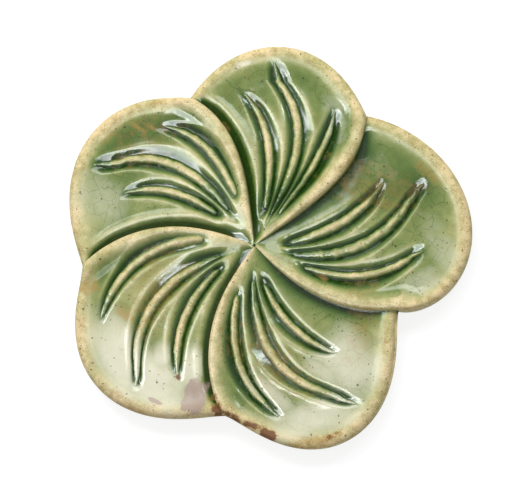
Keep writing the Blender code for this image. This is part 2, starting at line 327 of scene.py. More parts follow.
def glaze_material(name):
    """Green crackle glaze over speckled clay. Reads the piece's glaze and stain attributes."""
    material, tree, shader = new_material(name)
    place = node(tree, "ShaderNodeTexCoord", "Object")

    def noise(scale, detail=3.0):
        return node(tree, "ShaderNodeTexNoise", "Fac",
                    Vector=place, Scale=scale, Detail=detail, Roughness=0.55)

    def carried(attribute):
        return node(tree, "ShaderNodeAttribute", "Fac", {"attribute_name": attribute})

    def ragged(amount, coarse, fine):
        return amount + (mottle - 0.5) * coarse + (grit - 0.5) * fine

    drift = noise(90.0, 2.0)
    mottle = noise(420.0, 3.0)
    grit = noise(2300.0, 2.0)
    thickness = carried("glaze")
    thin = thickness.between(0.32, 0.09)
    pooled = thickness + (drift - 0.5) * 0.40
    pooled = pooled + (mottle - 0.5) * (thin * 0.10 + 0.22) + (grit - 0.5) * thin * 0.10
    stops = [(d / RAMP_STEPS, through_glaze(DEEPEST * d / RAMP_STEPS)) for d in range(RAMP_STEPS + 1)]
    colour = ramp(tree, pooled.clamp(), stops)
    warm = (mottle - 0.5) * 1.7 + (grit - 0.5) * 2.2
    colour = mix_colours(tree, (warm * thin * 1.2).clamp(), colour, TOAST_TONE)
    colour = mix_colours(tree, ((0.5 - grit) * thin * 0.9).clamp(), colour, SAND_TONE)

    # Painted reflection: cream patches where the glaze lies thin stand for the sheen of a bright light on
    # the outer wells.
    painted_sheen = (carried("painted_sheen") * 1.2 + (mottle - 0.5) * 0.5 + (drift - 0.5) * 0.7 - 0.15).clamp()
    painted_sheen = painted_sheen * thickness.between(0.80, 0.30)
    colour = mix_colours(tree, painted_sheen * 0.82, colour, PAINTED_SHEEN_TONE)
    mauve = ragged(carried("mauve"), 0.9, 0.4).between(0.35, 0.66)
    colour = mix_colours(tree, mauve * 0.80, colour, MAUVE_TONE)
    ochre = (ragged(carried("ochre") * 1.3, 1.5, 0.6) - 0.25).clamp()
    colour = mix_colours(tree, ochre * 0.75, colour, OCHRE_TONE)
    stain = ragged(carried("rust"), 1.1, 0.5)
    colour = mix_colours(tree, stain.between(0.20, 0.60) * 0.5, colour, OCHRE_TONE)
    colour = mix_colours(tree, stain.between(0.46, 0.80) * 0.9, colour, RUST_TONE)

    bent = node(tree, "ShaderNodeTexNoise", "Color", Vector=place, Scale=260.0, Detail=2.0)
    nudged = node(tree, "ShaderNodeVectorMath", "Vector", {"operation": "SCALE"}, Scale=0.0022)
    tree.links.new(bent.socket, nudged.socket.node.inputs[0])
    moved = node(tree, "ShaderNodeVectorMath", "Vector", {"operation": "ADD"})
    tree.links.new(place.socket, moved.socket.node.inputs[0])
    tree.links.new(nudged.socket, moved.socket.node.inputs[1])
    to_edge = {"feature": "DISTANCE_TO_EDGE"}
    cell_edge = node(tree, "ShaderNodeTexVoronoi", "Distance", to_edge, Vector=moved, Scale=240.0)
    fine_edge = node(tree, "ShaderNodeTexVoronoi", "Distance", to_edge, Vector=moved, Scale=520.0)
    crackle = cell_edge.between(0.028, 0.0) + fine_edge.between(0.03, 0.0) * noise(130.0).between(0.5, 0.62)
    crackle = (crackle * thickness.between(0.10, 0.35) * noise(75.0).between(0.28, 0.52)).clamp()
    # the painted sheen covers the crackle lines
    crackle = crackle * (1.0 - painted_sheen * 0.9)
    colour = mix_colours(tree, crackle * 0.55, colour, CRACKLE_TONE)

    dots = specks(tree, moved, 420.0, 0.165, 0.36) + specks(tree, moved, 800.0, 0.24, 0.24) * 0.9
    colour = mix_colours(tree, dots.clamp() * 0.85, colour, SPECK_TONE)

    plug(tree, shader.inputs["Base Color"], colour)
    plug(tree, shader.inputs["Roughness"], (thin * (0.20 + grit * 0.25) + 0.11).clamp())
    shader.inputs["IOR"].default_value = 1.58
    swell = noise(230.0, 1.0) * 0.25 + grit * thin * 0.2 - crackle * 0.04
    relief = node(tree, "ShaderNodeBump", "Normal", Strength=0.55, Distance=0.00022, Height=swell)
    plug(tree, shader.inputs["Normal"], relief)

    dry_skin = node(tree, "ShaderNodeBsdfPrincipled", "BSDF",
                    Base_Color=colour, Roughness=0.75, Normal=relief)
    dry_skin.socket.node.inputs["Specular IOR Level"].default_value = 0.12
    dryness = carried("dry") * 0.85 + thickness.between(0.22, 0.09) * 0.5 + stain.between(0.3, 0.6) * 0.3
    blend = tree.nodes.new("ShaderNodeMixShader")
    plug(tree, blend.inputs[0], dryness.clamp() * 0.92)
    tree.links.new(shader.outputs["BSDF"], blend.inputs[1])
    tree.links.new(dry_skin.socket, blend.inputs[2])
    output = next(n for n in tree.nodes if n.type == "OUTPUT_MATERIAL")
    tree.links.new(blend.outputs["Shader"], output.inputs["Surface"])
    return material


green_glaze = glaze_material("green_crackle_glaze")
print("glaze, thin to thick:", [tuple(round(v, 2) for v in through_glaze(d)) for d in (0.0, 0.4, 0.8, 1.6)])

# %% [markdown]
# ## Bare clay
#
# The foot and the petals' undersides are left without glaze, so that they don't stick to the kiln shelf.
# Fired stoneware is matt, warm and sandy, with the same iron specks as show through the glaze.

# %% Bare clay
def clay_material(name, tone):
    """Matt fired clay of one tone, with cloudy patches, sand and iron specks."""
    material, tree, shader = new_material(name)
    place = node(tree, "ShaderNodeTexCoord", "Object")
    cloud = node(tree, "ShaderNodeTexNoise", "Fac", Vector=place, Scale=110.0, Detail=4.0)
    sand = node(tree, "ShaderNodeTexNoise", "Fac", Vector=place, Scale=1900.0, Detail=3.0)
    dark = tuple(v * 0.72 for v in tone)
    colour = mix_colours(tree, cloud.between(0.35, 0.68), tone, dark)
    colour = mix_colours(tree, specks(tree, place, 520.0, 0.20, 0.20) * 0.8, colour, SPECK_TONE)
    plug(tree, shader.inputs["Base Color"], colour)
    plug(tree, shader.inputs["Roughness"], (sand * 0.25 + 0.68).clamp())
    grain = sand + cloud * 0.8
    relief = node(tree, "ShaderNodeBump", "Normal", Strength=0.5, Distance=0.0002, Height=grain)
    plug(tree, shader.inputs["Normal"], relief)
    return material


BARE_TONE = (0.50, 0.36, 0.235)
bare_clay = clay_material("bare_speckled_clay", BARE_TONE)
print("clay ready")

# %% [markdown]
# ## The petals' plan
#
# A petal's plan is a few numbers: where its lip starts and how far it swings, the radius of its tip, and
# for each vein the radii and places where it starts and ends. A place across a petal is given as a share,
# 0 at the petal's own lip and 1 at the next lip over. The five petals differ, as hand-made ones do. How much
# glaze is wiped off each rim is partly painted shade: a rim in shade gets less wiping, so its glaze lies
# thicker and darker.

# %% Plan of the petals and veins, in millimetres and degrees
Vein = namedtuple("Vein", "start end start_share end_share turn reach breadth")
Petal = namedtuple("Petal", "lip_bearing lip_sweep lip_turn notch tip tip_skew tip_point "
                            "lap rim_rise rim_flank rim_wiped veins")

# The second last number of each petal, the glaze wiped off its rim, is partly painted shade: it is set low
# for petal 2, whose rim lies in shade, so that its rim shows darker green.
PETALS = (
    Petal(45.0, 15.0, 2.95, 49.1, 59.8, 1.07, 1.0, 1.0, 0.75, 4.2, 0.5, (
        Vein(11.2, 45.5, 0.272, 0.215, 3.1, 4.2, 0.85),
        Vein(10.0, 54.9, 0.446, 0.556, 2.5, 4.8, 1.0),
        Vein(11.0, 45.6, 0.635, 0.754, 0.6, 4.2, 0.9),
    )),
    Petal(36.4, 21.6, 1.63, 45.5, 62.2, 0.76, 0.9, 0.0, 0.65, 4.6, 0.2, (
        Vein(16.0, 48.7, 0.235, 0.303, 2.8, 4.8, 0.85),
        Vein(11.3, 51.8, 0.401, 0.600, 1.35, 4.2, 1.2),
        Vein(10.0, 41.1, 0.597, 0.757, 0.61, 4.0, 1.1),
    )),
    Petal(29.8, 25.7, 1.68, 49.4, 62.0, 0.90, 1.55, 0.0, 0.6, 4.2, 0.7, (
        Vein(15.0, 49.9, 0.181, 0.250, 3.3, 4.2, 0.9),
        Vein(10.1, 54.6, 0.409, 0.576, 3.66, 4.6, 1.05),
        Vein(11.2, 39.4, 0.610, 0.704, 0.9, 3.8, 0.8),
    )),
    Petal(25.1, 27.8, 1.65, 51.4, 61.0, 0.90, 1.48, 0.30, 0.6, 4.2, 0.9, (
        Vein(15.0, 49.5, 0.145, 0.269, 2.0, 4.4, 1.1),
        Vein(10.1, 53.0, 0.474, 0.593, 3.1, 4.4, 1.1),
        Vein(12.2, 43.8, 0.681, 0.802, 0.86, 4.0, 0.95),
    )),
    Petal(36.7, 16.4, 2.75, 48.9, 61.2, 0.92, 1.22, 1.1, 0.65, 4.2, 0.8, (
        Vein(15.6, 46.2, 0.198, 0.236, 3.0, 4.4, 0.95),
        Vein(13.2, 55.0, 0.452, 0.541, 5.0, 5.2, 1.05),
        Vein(14.7, 42.8, 0.658, 0.700, 2.6, 4.0, 0.9),
    )),
)
STEP_ROUND = 360.0 / len(PETALS)
PETAL_BASE = 3.3  # underside of the petals, above the table
WELL_FLOOR = PETAL_BASE + 3.6


def ease(x):
    x = np.clip(x, 0.0, 1.0)
    return x * x * (3.0 - 2.0 * x)


def bell(x):
    return np.exp(-x * x)


def half_wave(x):
    """Falls from 1 at 0 to 0 at 1, level at both ends."""
    return 0.5 + 0.5 * np.cos(np.pi * np.clip(x, 0.0, 1.0))


def quarter_round(x):
    """Rises from 0 at 0 to 1 at 1 like a rounded corner, upright first and then level."""
    return np.sqrt(1.0 - (1.0 - np.clip(x, 0.0, 1.0)) ** 2)


def growing(least, x):
    """Rises from the least share at 0 to the whole at 1."""
    return least + (1.0 - least) * ease(x)


def lip_bearing(index, radius):
    petal = PETALS[index % len(PETALS)]
    run = np.minimum(radius / petal.notch, 1.0)
    return petal.lip_bearing + petal.lip_sweep * run**petal.lip_turn


def sides(index, radius):
    """Bearing of the petal's own lip, and how far round the next lip over is."""
    own = lip_bearing(index, radius)
    return own, STEP_ROUND + lip_bearing(index - 1, radius) - own


def rim_radius(index, share):
    petal = PETALS[index]
    share = np.clip(share, 0.0, 1.0)
    notches = petal.notch + (PETALS[index - 1].notch - petal.notch) * share
    swell = np.abs(np.sin(np.pi * share**petal.tip_skew)) ** petal.tip_point
    return notches + (petal.tip - notches) * swell


def ripple(x, y, wavelength, seed, waves=9):
    """Smooth uneven waves of about -1 to 1, as a hand leaves them."""
    rng = np.random.default_rng(seed)
    total = np.zeros_like(x)
    for _ in range(waves):
        angle, shift = rng.uniform(0.0, 2.0 * np.pi, 2)
        rate = 2.0 * np.pi / (wavelength * rng.uniform(0.7, 1.4))
        total += np.sin(rate * (x * np.cos(angle) + y * np.sin(angle)) + shift)
    return total / math.sqrt(waves)


print("petals:", len(PETALS), "veins:", sum(len(petal.veins) for petal in PETALS))

# %% [markdown]
# ## The clay's shape
#
# The relief is worked out as a height over the whole flower, the way the hand makes it: a level well, a
# rim and a lip raised round it, a groove beside the lip that laps over, and channels pressed in with a
# tool whose sides leave a soft burr of clay. It would also be possible to sculpt each petal, but then the
# glaze could not be worked out from the shape, as it is further down.

# %% Height of the clay
LIP_RISE, LIP_CREST, LIP_FLANK = 2.35, 1.5, 3.9
LEAST_LIP, LIP_GROWN_AT = 0.20, 20.0  # its share at the centre, and the radius where it is whole
LEAST_FLANK, FLANK_GROWN_AT = 0.28, 18.0  # the same for its flank, by the petal's width
LIP_UNDERCUT, RIM_WAVER, CORNER_FILL = 1.5, 0.07, 0.35
RIM_CREST, RIM_EDGE = 2.3, 2.7
RIM_BEAD, RIM_BEAD_FLANK = 0.24, 1.1  # a small bead along the rim, on its broad rise
HIGHEST = 9.22  # no clay stands above this
PAST_START, PAST_END = 4.0, 2.0  # how far a channel runs on beyond its vein's ends
CHANNEL_DEPTH, BURR = 1.40, 0.07
CHANNEL_TAPER, CHANNEL_FADES = 0.30, (5.0, 8.0)  # how it narrows and how far it fades in and out
FULL_REACH = 2.4  # a narrower channel is shallower
ROOM_TO_LIP, ROOM_IN_ALL = 0.60, 1.08  # shares of the room between two veins that their channels take
REACH_TO_LIP, REACH_AWAY = 1.25, 0.95  # a channel spreads further towards the petal's own lip than away
LAP_DEPTH, LAP_TUCK = 1.60, 0.6  # depth of the groove beside a lap, and how far it is deepest under the lip
LAP_REACH, LAP_GROWN_AT = 3.9, 14.0  # its width, and the petal's width at which it is whole
SHALLOW_LAP, WIDEST_LAP = 0.34, 8.5  # a petal without a ridge has a shallower, wider groove
RIDGE_RISE, RIDGE_AWAY, RIDGE_HALF = 0.30, 0.4, 1.3  # the clay pushed up along the groove
RIPPLES = ((0.05, 14.0, 40), (0.008, 4.0, 60))  # height, wavelength and first seed
SOFT_TOP = 0.4  # the highest clay is eased down over this height
VEIN_RISE, VEIN_HALF = 0.42, 1.5  # how far a vein's crest stands above the well, and its half width


def along_vein(vein, radius):
    """How far along a vein a radius is, from 0 at its start to 1 at its end."""
    return np.clip((radius - vein.start) / (vein.end - vein.start), 0.0, 1.0)


def vein_share(vein, radius):
    """Where a vein lies across its petal."""
    return vein.start_share + (vein.end_share - vein.start_share) * along_vein(vein, radius) ** vein.turn


def vein_height(vein, radius):
    """How much of its full height a vein has at a radius: it dies away at both ends."""
    return np.sin(np.pi * along_vein(vein, radius)) ** 0.22


def channel_reach(vein, others, radius, width, side):
    """Half width of a channel in millimetres on one side of its vein, kept clear of its neighbours."""
    run = (radius - vein.start + PAST_START) / (vein.end - vein.start + PAST_START + PAST_END)
    taper = np.sin(np.pi * np.clip(run, 0.0, 1.0)) ** CHANNEL_TAPER
    steps = [vein_share(other, radius) - vein_share(vein, radius) for other in others]
    gaps = [np.where(step * side > 0.0, np.abs(step), 1.0) for step in steps]
    room = np.min(gaps, axis=0) * width * np.where(side < 0.0, ROOM_TO_LIP, ROOM_IN_ALL - ROOM_TO_LIP)
    wanted = vein.reach * np.where(side < 0.0, REACH_TO_LIP, REACH_AWAY)
    return np.maximum(np.minimum(wanted * taper, room), 0.05), taper


def lap_groove(petal, width, from_far, from_rim):
    """Depth of the groove beside the lip that laps over a petal, and height of the ridge along it."""
    near_centre = ease(width / LAP_GROWN_AT)
    reach = LAP_REACH if petal.lap else np.minimum(WIDEST_LAP, 0.4 * width + 1.0)
    depth = LAP_DEPTH if petal.lap else SHALLOW_LAP * LAP_DEPTH
    under_lip = LAP_TUCK * near_centre
    groove = depth * half_wave((from_far + under_lip) / (reach + under_lip))
    ridge = petal.lap * RIDGE_RISE * bell((from_far - reach - RIDGE_AWAY) / RIDGE_HALF)
    return (groove * (0.35 + 0.65 * near_centre) * ease(from_rim / 3.5),
            ridge * near_centre * ease((from_rim - 3.0) / 6.0))


def channel_cut(vein, others, share, radius, width):
    """Depth of one channel, and height of the soft burr of clay along its sides."""
    aside = share - vein_share(vein, radius)
    off = np.abs(aside) * width
    reach, taper = channel_reach(vein, others, radius, width, np.sign(aside))
    middle_reach, _ = channel_reach(vein, others, radius, width, np.full_like(radius, 1.0))
    fade_in, fade_out = CHANNEL_FADES
    fade = ease((vein.end + PAST_END - radius) / fade_out)
    fade = fade * ease((radius - vein.start + PAST_START) / fade_in)
    depth = CHANNEL_DEPTH * fade * np.minimum(middle_reach / FULL_REACH, 1.0)
    burr = BURR * taper**2 * np.minimum(reach / 2.6, 1.0) * bell((off - reach * 0.96) / 1.2)
    return depth * half_wave(off / reach) ** 0.9, burr


def clay_height(index, share, radius):
    """Height of a petal's clay without its veins, and how deep its channels are there."""
    petal = PETALS[index]
    own, span = sides(index, radius)
    width = np.radians(span) * radius
    from_lip, from_far = share * width, (1.0 - share) * width
    from_rim = np.maximum(rim_radius(index, share) - radius, 0.0)
    grown = growing(LEAST_LIP, radius / LIP_GROWN_AT)
    bearing = np.radians(own + span * share - STEP_ROUND * index)
    x, y = radius * np.cos(bearing), radius * np.sin(bearing)

    lip_flank = LIP_FLANK * growing(LEAST_FLANK, width / FLANK_GROWN_AT)
    lip = LIP_RISE * grown * bell(np.maximum(from_lip - LIP_CREST * grown, 0.0) / lip_flank)
    rim = petal.rim_rise * bell(np.maximum(from_rim - RIM_CREST, 0.0) / petal.rim_flank)
    rim = rim * (1.0 + RIM_WAVER * ripple(x, y, 17.0, 3 + index))
    rim = rim + RIM_BEAD * bell(np.maximum(from_rim - RIM_CREST, 0.0) / RIM_BEAD_FLANK)
    corner = np.minimum(lip, rim) * ease((from_rim + from_lip) / 9.0)
    height = np.maximum(lip, rim) + CORNER_FILL * corner
    groove, ridge = lap_groove(petal, width, from_far, from_rim)
    height += ridge - groove

    cut = np.zeros_like(radius)
    for vein in petal.veins:
        others = [other for other in petal.veins if other is not vein]
        channel, burr = channel_cut(vein, others, share, radius, width)
        cut = np.maximum(cut, channel)
        height += burr
    height -= cut
    for rise, wavelength, seed in RIPPLES:
        height += rise * ripple(x, y, wavelength, seed + index)

    floor = WELL_FLOOR - PETAL_BASE
    height = RIM_EDGE + (floor + height - RIM_EDGE) * quarter_round(from_rim / RIM_CREST)
    soft_from = HIGHEST - PETAL_BASE - SOFT_TOP
    eased = soft_from + SOFT_TOP * np.tanh(np.maximum(height - soft_from, 0.0) / SOFT_TOP)
    height = np.minimum(height, eased)
    lip_edge = quarter_round(from_lip / (LIP_CREST * grown))
    height -= LIP_UNDERCUT * grown * (1.0 - lip_edge) * ease(from_rim / 1.5)
    return PETAL_BASE + height, cut


def vein_ridge(index, share, radius):
    """Height that the veins add to the clay, for working out the glaze."""
    own, span = sides(index, radius)
    width = np.radians(span) * radius
    ridge = np.zeros_like(radius)
    for vein in PETALS[index].veins:
        off = np.abs(share - vein_share(vein, radius)) * width
        tall = (CHANNEL_DEPTH + VEIN_RISE) * vein_height(vein, radius)
        ridge = np.maximum(ridge, tall * np.exp(-((off / (VEIN_HALF * vein.breadth)) ** 3.0)))
    return ridge


print("relief ready: lip", LIP_RISE, "channel", CHANNEL_DEPTH)

# %% [markdown]
# ## How thick the glaze lies
#
# Molten glaze behaves like thick honey. It levels itself, so it lies thick wherever the clay is lower than
# its surroundings and thin wherever the clay stands up. So the glaze level is the clay's height smoothed
# over a few millimetres, and the thickness is that level less the clay. This is worked out once on a fine
# square grid over the flower, and every petal and vein then reads its own points' thickness from it. The
# glaze therefore runs from petal to vein without a seam.

# %% Glaze thickness over the whole flower
CELL, HALF = 0.2, 64.0  # the grid's spacing, and how far it reaches from the centre
WIDE_SPREADS, NEAR_SPREAD = (1.4, 3.2), 0.7  # how far the clay's height is smoothed, millimetres
BELL_WIDTH = 1.414  # a bell's width for each unit of spread
GLAZE_COAT = 0.25
GLAZE_PULL = 2.2  # how strongly the glaze gathers in wide dips
EDGE_PULL = 3.0  # and how strongly it draws back from sharp crests
CREST_PULL = 0.8  # the glaze leaves a high crest faster still
POOL_FADE = 0.3  # a pool dies out on clay this far above the glaze's level
RIM_DRAIN_REACH = 4.5  # how far in from the rim the wiping thins the glaze
DRY_REACH = 3.4  # and how far in its skin is dull
VEIN_DRAIN = 2.4  # a vein is narrow, so glaze runs off it this much faster
THINNEST, THICKEST = 0.05, 1.5
MOST_GATHERED = 4.0

line = np.arange(-HALF, HALF + CELL, CELL)
grid_x, grid_y = np.meshgrid(line, line)
grid_radius = np.maximum(np.hypot(grid_x, grid_y), 0.3)
grid_bearing = np.degrees(np.arctan2(grid_y, grid_x))
clay = np.full(grid_x.shape, PETAL_BASE)
rim_drain_and_painted_shade = np.zeros(grid_x.shape)
dry = np.ones(grid_x.shape)
for index in range(len(PETALS)):
    own, span = sides(index, grid_radius)
    share = np.mod(grid_bearing + STEP_ROUND * index - own, 360.0) / span
    inside = (share < 1.0) & (grid_radius < rim_radius(index, share))
    height, _ = clay_height(index, share[inside], grid_radius[inside])
    from_rim = rim_radius(index, share[inside]) - grid_radius[inside]
    # Painted shade: the drained rim glaze is thin and tan, and each petal's strength for it is less where
    # its rim lies in shade.
    rim_drain_and_painted_shade[inside] = PETALS[index].rim_wiped * bell(from_rim / RIM_DRAIN_REACH)
    dry[inside] = bell(from_rim / DRY_REACH)
    clay[inside] = height + vein_ridge(index, share[inside], grid_radius[inside])


def smoothed(field, spread):
    """The field blurred over a distance in millimetres."""
    reach = int(3.0 * spread / CELL)
    weights = bell(np.arange(-reach, reach + 1) * CELL / (spread * BELL_WIDTH))
    weights /= weights.sum()
    for axis in (0, 1):
        field = np.apply_along_axis(lambda row: np.convolve(row, weights, mode="same"), axis, field)
    return field


def read_grid(field, x, y):
    """The field's values at points in millimetres, blended between its cells."""
    across_cells, up_cells = (x + HALF) / CELL, (y + HALF) / CELL
    i = np.clip(across_cells.astype(int), 0, len(line) - 2)
    j = np.clip(up_cells.astype(int), 0, len(line) - 2)
    u, v = across_cells - i, up_cells - j
    low = field[j, i] * (1.0 - u) + field[j, i + 1] * u
    high = field[j + 1, i] * (1.0 - u) + field[j + 1, i + 1] * u
    return low * (1.0 - v) + high * v


wide_level = sum(0.5 * smoothed(clay, spread) for spread in WIDE_SPREADS)
near_level = smoothed(clay, NEAR_SPREAD)


def glaze_over(x, y, z, drain=1.0):
    """Glaze thickness at points in millimetres: gathered in the dips and drained off the crests."""
    near = read_grid(near_level, x, y) - z
    dip = read_grid(wide_level, x, y) - z
    gathered = np.where(dip > 0.0, GLAZE_PULL * dip, drain * (dip - CREST_PULL * dip**2))
    gathered += EDGE_PULL * np.minimum(near, 0.0) - read_grid(rim_drain_and_painted_shade, x, y)
    gathered += read_grid(pool_field, x, y) * ease(1.0 + dip / POOL_FADE)
    coat = GLAZE_COAT / THICKEST * np.exp(np.clip(gathered, -MOST_GATHERED, MOST_GATHERED))
    return THINNEST + (THICKEST - THINNEST) * np.tanh(coat)


print("clay grid:", clay.shape, "highest", round(float(clay.max()), 2), "mm")

# %% [markdown]
# ## Stains, pools and painted sheen
#
# No two petals fire alike. Iron bleeds out rusty brown where two laps meet, ochre where a little slip was
# trapped, and the glaze goes pink-grey where it lies thin and under-fired near the rim. Cream patches on the
# outer wells are painted reflection: the sheen of a bright light, painted into the colour where the glaze is
# thin. Each mark is a rounded patch with a soft edge, placed by petal. The material breaks its outline up.

# %% Where the marks are
Mark = namedtuple("Mark", "petal x y long short turn strength")
POOLS = (
    (5, 12.0, 46.0, 15.0, 9.0, -20, 0.75), (2, -12.0, 38.0, 17.0, 10.0, 60, 0.75),
    (1, -2.0, 46.0, 15.0, 8.0, 0, 0.40), (3, 12.0, 30.0, 14.0, 8.0, 110, 0.25),
)
MARKS = {
    "rust": (
        (3, 28.6, 39.4, 2.2, 1.3, 60, 1.0), (3, 25.2, 42.8, 3.2, 1.2, -50, 0.75),
        (3, 21.5, 46.8, 2.8, 1.1, -45, 0.8), (3, 18.2, 51.6, 2.6, 1.7, -50, 1.0),
        (3, 1.7, 59.4, 2.2, 1.0, 0, 0.65), (4, -28.0, 39.0, 2.2, 1.4, 30, 0.9),
        (4, -24.6, 37.6, 1.6, 1.0, 60, 0.7), (4, -13.2, 41.4, 0.9, 0.6, 0, 0.9),
    ),
    "ochre": (
        (4, 24.6, 43.6, 3.0, 2.0, 70, 0.8), (4, 11.3, 41.2, 3.4, 1.4, 10, 0.8),
        (4, 18.3, 51.9, 2.4, 1.4, -30, 0.5), (5, 14.1, 48.6, 2.8, 0.7, 82, 0.9),
        (5, 16.2, 45.4, 2.6, 0.7, 80, 0.8), (5, 9.6, 55.2, 4.5, 1.6, -10, 0.55),
        (5, 26.4, 25.9, 2.0, 1.0, 60, 0.5), (2, -14.0, 52.0, 5.0, 1.8, 40, 0.6),
        (2, 11.7, 18.6, 1.6, 0.9, 40, 0.8), (4, -12.0, 57.0, 9.0, 1.8, 15, 0.75),
        (3, 8.0, 58.8, 8.0, 1.8, -12, 0.7), (5, -2.0, 57.5, 3.5, 1.2, 8, 0.4),
        (3, 9.0, 31.0, 14.0, 8.0, 110, 0.42), (4, 10.0, 31.0, 14.0, 9.0, 110, 0.42),
        (2, -12.0, 36.0, 14.0, 7.0, 60, 0.42), (5, 12.0, 46.0, 12.0, 8.0, -20, 0.34),
        (1, -12.0, 44.0, 9.0, 8.0, 0, 0.22), (3, -19.0, 33.0, 13.0, 4.0, 60, 0.45),
    ),
    "mauve": (
        (4, -20.8, 41.8, 4.9, 3.4, 125, 1.0),
        (4, -14.0, 50.8, 2.6, 0.7, 25, 0.8),
    ),
    "dry": (
        (4, 25.4, 36.2, 7.0, 5.0, 110, 0.95), (4, 3.9, 7.5, 3.5, 3.5, 0, 0.7),
        (3, -2.0, 38.0, 5.0, 4.0, 120, 0.6),
    ),
    # painted reflection: where the outer wells show a bright light's creamy sheen
    "painted_sheen": (
        (4, 3.0, 50.0, 13.0, 6.0, -14, 1.0), (4, -10.0, 47.0, 9.0, 6.5, 20, 1.0),
        (4, -14.0, 37.5, 6.0, 3.6, 110, 0.95), (4, -6.0, 42.0, 3.0, 5.0, 20, 0.85),
        (3, -11.0, 42.5, 8.5, 7.0, 110, 0.85), (3, 4.0, 52.5, 12.0, 4.4, -10, 0.9),
        (3, 12.5, 42.0, 8.0, 2.4, 115, 0.7), (3, -3.0, 41.5, 6.0, 2.2, 128, 0.7),
        (1, -14.6, 52.4, 2.2, 0.8, 25, 0.8), (5, -11.0, 48.0, 8.0, 8.0, 0, 0.42),
        (2, 6.0, 52.5, 9.0, 4.0, 20, 0.45), (2, 17.0, 46.0, 6.0, 3.0, 110, 0.5),
        (2, -16.2, 39.2, 5.0, 4.0, 20, 0.3), (1, 15.0, 41.0, 7.0, 3.0, 110, 0.4),
    ),
}


def mark_field(marks):
    """Strength of one kind of mark over the grid."""
    field = np.zeros_like(grid_x)
    for mark in map(Mark._make, marks):
        turn = math.radians(STEP_ROUND * (mark.petal - 1))
        local_x = grid_x * math.cos(turn) - grid_y * math.sin(turn) - mark.x
        local_y = grid_x * math.sin(turn) + grid_y * math.cos(turn) - mark.y
        tilt = math.radians(mark.turn)
        along = (local_x * math.cos(tilt) + local_y * math.sin(tilt)) / mark.long
        aside = (local_y * math.cos(tilt) - local_x * math.sin(tilt)) / mark.short
        patch = np.exp(-0.7 * (along**4 + aside**4) ** 0.8)  # flat in the middle, with a soft edge
        field = np.maximum(field, mark.strength * patch)
    return field


mark_fields = {name: mark_field(marks) for name, marks in MARKS.items()}
pool_field = mark_field(POOLS)
mark_fields["dry"] = np.maximum(dry, mark_fields["dry"])
print("marks:", {name: len(marks) for name, marks in MARKS.items()})


# %% Put the glaze and the marks on a piece
UNDER_EDGE = 1.3  # how high the rounded underside of the rim comes up


def carry(mesh, name, values):
    """Puts a value on every point of a mesh, for a material or a tree to read."""
    mesh.attributes.new(name, "FLOAT", "POINT").data.foreach_set("value", values.astype(np.float32))


def dress(piece, drain=1.0):
    """Gives every point of a piece its glaze thickness and its marks."""
    mesh = piece.data
    spots = np.empty(len(mesh.vertices) * 3)
    mesh.vertices.foreach_get("co", spots)
    x, y, z = spots.reshape(-1, 3).T / MM
    upper = ease((z - PETAL_BASE - UNDER_EDGE) / 1.0)  # the underside has an even coat and no marks
    fields = {"glaze": glaze_over(x, y, z, drain) * upper + GLAZE_COAT * (1.0 - upper)}
    fields.update({name: read_grid(field, x, y) * upper for name, field in mark_fields.items()})
    for name, values in fields.items():
        carry(mesh, name, values)


def new_piece(name, points, faces, materials):
    """A smooth-shaded mesh object from points in millimetres."""
    mesh = bpy.data.meshes.new(name)
    mesh.from_pydata((np.asarray(points) * MM).tolist(), [], faces)
    for material in materials:
        mesh.materials.append(material)
    mesh.shade_smooth()
    return in_scene(name, mesh)


print("dressing ready")

# %% [markdown]
# ## The petals
#
# Each petal is one closed body. Rows of points run across it from its lip to where it tucks under the next
# lip, and follow each other from the centre to the rim. They lie closer together at the lip and at the rim,
# where the clay turns over. The underside is a second sheet with the same rows and columns, so that the
# edges close with simple bands of faces. Underneath, the clay is bare round the foot, because the glaze
# stops short of it.

# %% Petal meshes
TUCK = 0.9  # how far a petal goes in under the next lip, millimetres
INNER_RADIUS = 0.45
RIM_TURN = 3.8  # the rim's own rows start this far in
WIPED_RADIUS = 41.0  # the underside is wiped free of glaze inside this radius
UNDER_ROUND = 3.0  # how far in from the rim the underside starts to turn up

lip_columns = [0.0, 0.0025, 0.006, 0.011, 0.018, 0.026, 0.035, 0.046]
columns = np.concatenate([lip_columns, np.linspace(0.058, 0.972, 150), np.linspace(0.977, 1.0, 6)])
rim_rows = np.array([3.4, 3.0, 2.6, 2.25, 1.9, 1.55, 1.2, 0.9, 0.62, 0.4, 0.22, 0.1, 0.03, 0.0])
INNER_ROWS = 215


def petal_sheet(index):
    """Shares, radii and bearings of a petal's rows and columns."""
    rim = rim_radius(index, columns)
    inward = np.linspace(0.0, 1.0, INNER_ROWS)[:, None]
    inner = INNER_RADIUS + (rim - RIM_TURN - INNER_RADIUS) * inward
    radius = np.concatenate([inner, rim - rim_rows[:, None]])
    own, span = sides(index, radius)
    tucked = columns * (span + np.degrees(TUCK / np.maximum(radius, 6.0)))
    return tucked / span, radius, np.radians(own + tucked - STEP_ROUND * index)


def petal_faces(row_count, column_count):
    """Faces of the upper sheet, the lower sheet and the four bands between them."""
    place = np.arange(row_count * column_count).reshape(row_count, column_count)
    under = place + row_count * column_count
    above = np.stack([place[:-1, :-1], place[1:, :-1], place[1:, 1:], place[:-1, 1:]], -1).reshape(-1, 4)
    below = np.stack([under[:-1, :-1], under[:-1, 1:], under[1:, 1:], under[1:, :-1]], -1).reshape(-1, 4)
    bands = []
    for top, bottom in ((place[:, 0], under[:, 0]), (place[::-1, -1], under[::-1, -1]),
                        (place[0, ::-1], under[0, ::-1]), (place[-1], under[-1])):
        bands.append(np.stack([top[:-1], bottom[:-1], bottom[1:], top[1:]], -1))
    return np.concatenate([above, below, *bands]), len(above), len(below)


